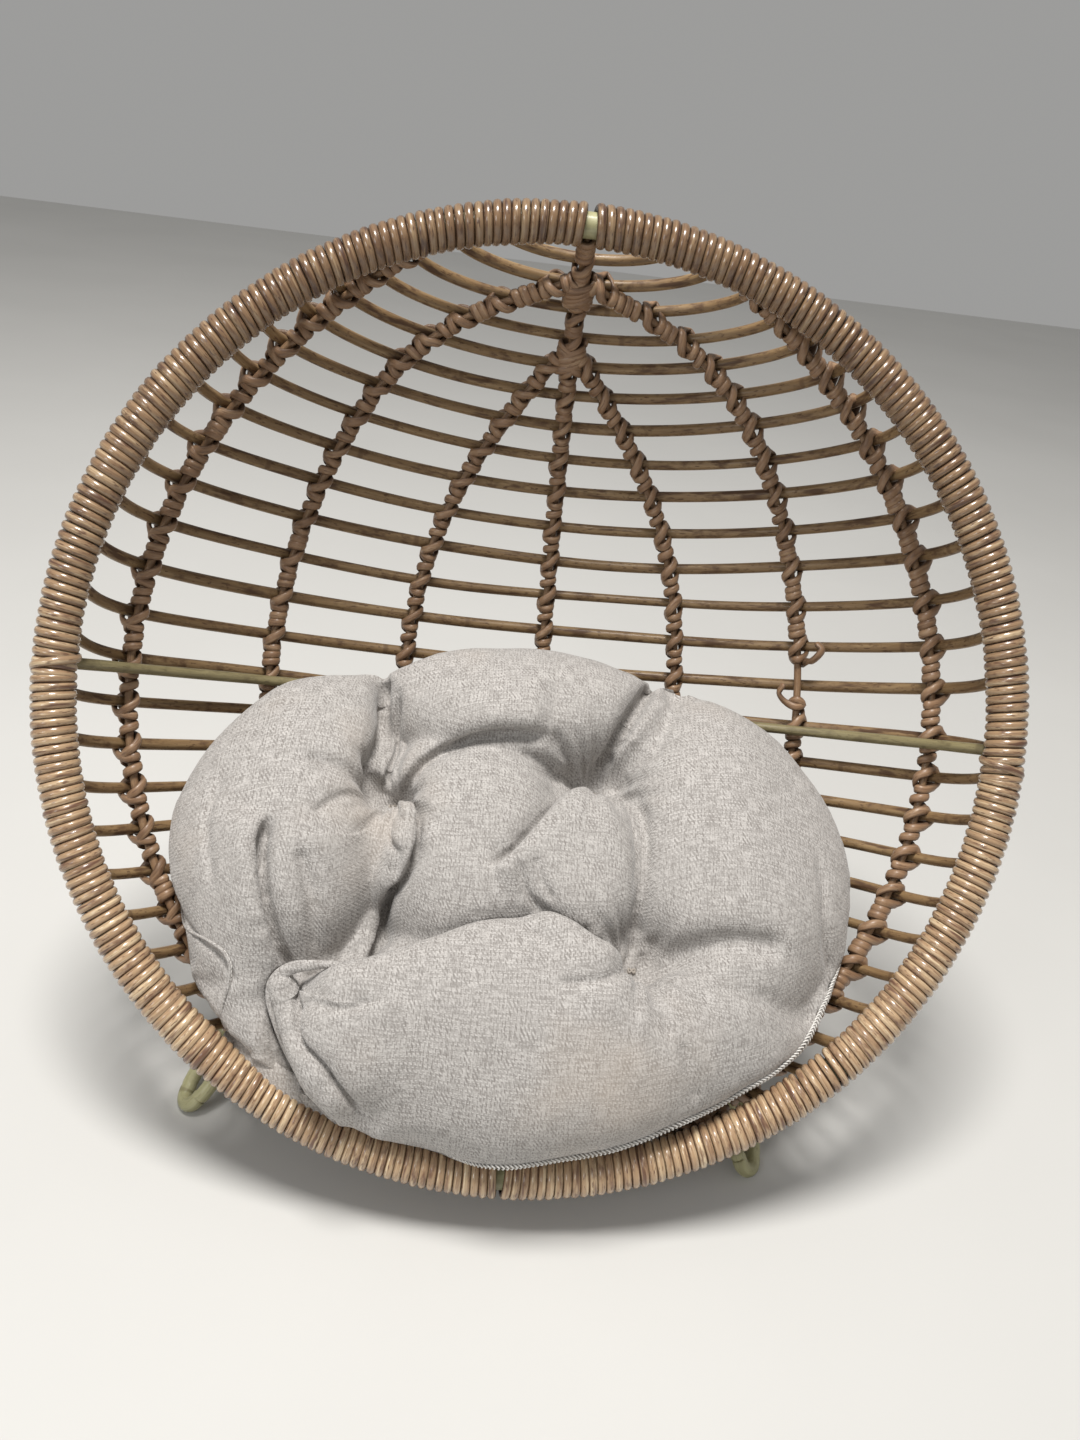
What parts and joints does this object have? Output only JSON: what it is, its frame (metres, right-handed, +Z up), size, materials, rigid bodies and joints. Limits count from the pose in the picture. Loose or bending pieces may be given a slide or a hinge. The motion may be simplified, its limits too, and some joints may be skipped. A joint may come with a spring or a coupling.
{
  "type": "pet bed basket",
  "caption": "Half-globe pet bed of round rattan cane with a wrapped rim, on hairpin cane feet, holding a loose round tufted cushion that lifts out.",
  "frame": {"origin": "on the floor, under the middle of the whole bed's box", "axes": "+Z up, -Y out of the open front, +X to the right as seen from the front"},
  "size_m": [0.4982, 0.3032, 0.4638],
  "materials": {
    "rim_wrapping": "lacquered round cane, pinkish tan with darker streaks, semi-gloss",
    "brown_cane": "natural peeled cane, olive brown with dark knots, satin",
    "binding_strand": "thin round cane strand, grey brown, satin",
    "green_cane": "pale green-yellow skin-on cane, satin",
    "cover_fabric": "grey-beige heather twill, matt",
    "fibre_filling": "loose white fibre",
    "tie_twine": "waxed twine"
  },
  "bodies": {
    "basket": {"cane_down_01": "brown_cane", "cane_down_02": "brown_cane", "cane_down_03": "brown_cane", "cane_down_04": "brown_cane", "cane_down_05": "brown_cane", "cane_down_06": "brown_cane", "cane_down_07": "brown_cane", "cane_down_08": "brown_cane", "cane_down_09": "brown_cane", "cane_down_10": "brown_cane", "cane_down_11": "brown_cane", "cane_down_12": "brown_cane", "cane_down_13": "brown_cane", "cane_down_14": "brown_cane", "cane_middle": "brown_cane", "cane_up_01": "brown_cane", "cane_up_02": "brown_cane", "cane_up_03": "brown_cane", "cane_up_04": "brown_cane", "cane_up_05": "brown_cane", "cane_up_06": "brown_cane", "cane_up_07": "brown_cane", "cane_up_08": "brown_cane", "cane_up_09": "brown_cane", "cane_up_10": "brown_cane", "cane_up_11": "brown_cane", "cane_up_12": "brown_cane", "cane_up_13": "brown_cane", "cane_up_14": "brown_cane", "equator_pole": "green_cane", "leg_front_left": "green_cane", "leg_front_right": "green_cane", "leg_lashing_front_left": "binding_strand", "leg_lashing_front_right": "binding_strand", "leg_lashing_rear_left": "binding_strand", "leg_lashing_rear_right": "binding_strand", "leg_rear_left": "green_cane", "leg_rear_right": "green_cane", "rib_core_inner_left": "brown_cane", "rib_core_inner_right": "brown_cane", "rib_core_middle": "brown_cane", "rib_core_outer_left": "brown_cane", "rib_core_outer_right": "brown_cane", "rib_core_side_left": "brown_cane", "rib_core_side_right": "brown_cane", "rib_wrap_inner_left": "binding_strand", "rib_wrap_inner_right": "binding_strand", "rib_wrap_middle": "binding_strand", "rib_wrap_outer_left": "binding_strand", "rib_wrap_outer_right": "binding_strand", "rib_wrap_side_left": "binding_strand", "rib_wrap_side_right": "binding_strand", "rim_core": "green_cane", "rim_wrap_left": "rim_wrapping", "rim_wrap_right": "rim_wrapping"},
    "cushion": {"cushion_cover": "cover_fabric", "cushion_filling": "fibre_filling", "tuft_tie_1": "tie_twine", "tuft_tie_2": "tie_twine", "tuft_tie_3": "tie_twine"}
  },
  "joints": [
    {"name": "cushion_lift_out", "type": "slide", "parent": "basket", "child": "cushion", "axis": [0, -0.8746, 0.4848], "range_m": [0, 0.35]}
  ]
}
